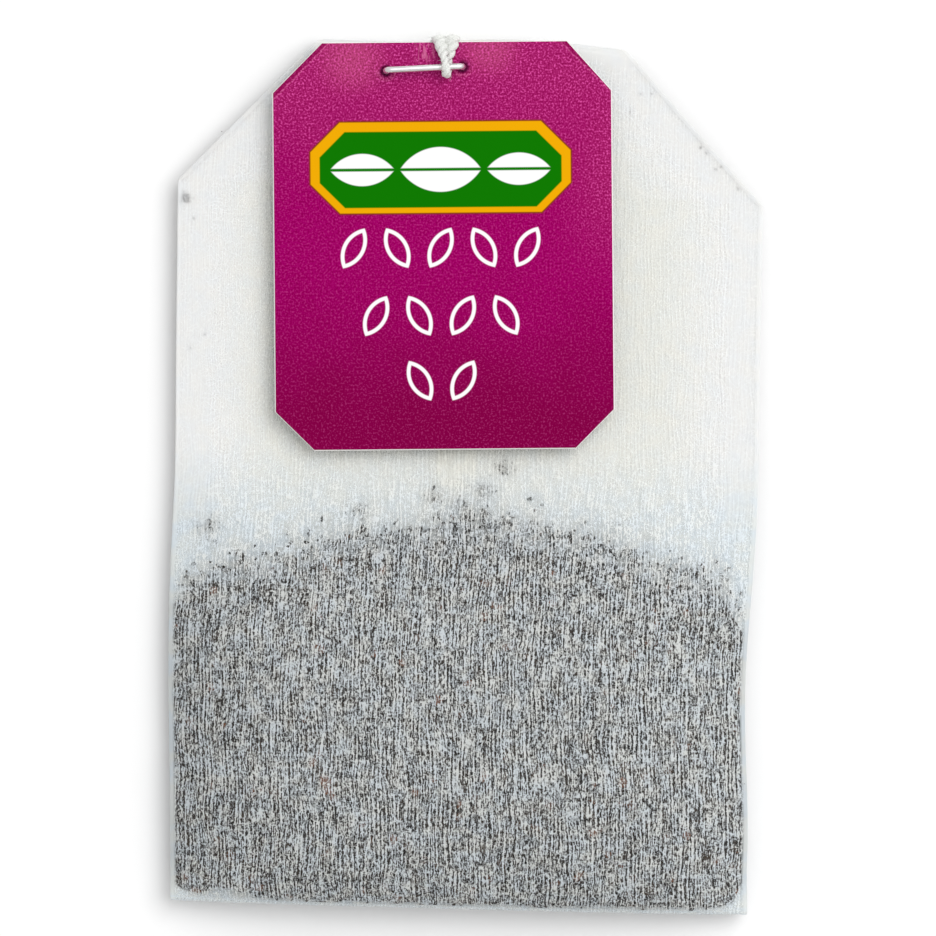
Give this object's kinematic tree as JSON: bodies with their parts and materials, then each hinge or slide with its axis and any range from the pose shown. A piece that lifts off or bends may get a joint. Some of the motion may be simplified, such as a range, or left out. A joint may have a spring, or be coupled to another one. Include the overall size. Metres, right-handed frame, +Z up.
{
  "type": "tea bag",
  "caption": "Folded filter-paper tea bag lying flat, with two tea-filled chambers, a stapled head, a cotton string and a printed card tag on its front.",
  "frame": {"origin": "on the table, under the middle of the bag's outline", "axes": "+Y runs up the bag from the bottom fold to the stapled head, +Z up off the table towards the side with the tag, +X across the bag to the right as the tag is read"},
  "size_m": [0.042, 0.0627, 0.0072],
  "materials": {
    "filter_paper": "thin porous filter paper with a vertical fibre grain, translucent",
    "tea_leaf": "dry broken black tea leaf",
    "staple_wire": "bright drawn steel wire",
    "tag_card": "thin white card printed magenta on the front, matte",
    "cotton_string": "soft twisted white cotton"
  },
  "bodies": {
    "root": {"filter_bag": "filter_paper", "tea_front": "tea_leaf", "tea_back": "tea_leaf", "bag_staple": "staple_wire", "tag": "tag_card", "tag_staple": "staple_wire", "string_to_bag": "cotton_string", "string_coil": "cotton_string", "string_to_tag": "cotton_string"}
  },
  "joints": []
}
